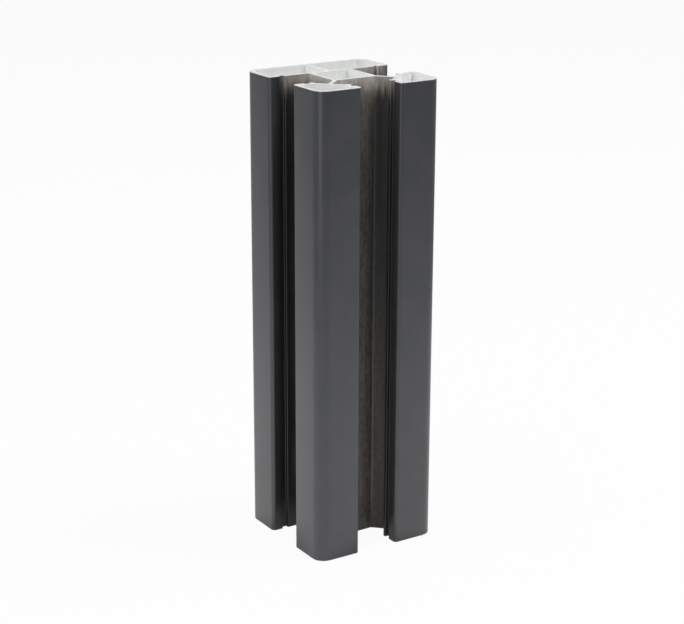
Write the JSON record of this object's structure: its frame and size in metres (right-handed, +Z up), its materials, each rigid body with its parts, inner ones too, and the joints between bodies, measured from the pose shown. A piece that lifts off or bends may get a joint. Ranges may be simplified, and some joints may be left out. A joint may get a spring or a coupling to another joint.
{
  "type": "slotted fence post",
  "caption": "Short length of extruded metal fence post with board slots on the front and both sides, a hollow core, hollow corners and a closed back.",
  "frame": {"origin": "middle of the bottom end of the post", "axes": "+Z up along the post, +Y towards its closed back, +X towards its right side slot"},
  "size_m": [0.07, 0.07, 0.24],
  "materials": {
    "powder_coat": "satin"
  },
  "bodies": {
    "root": {"post_profile": "powder_coat"}
  },
  "joints": []
}
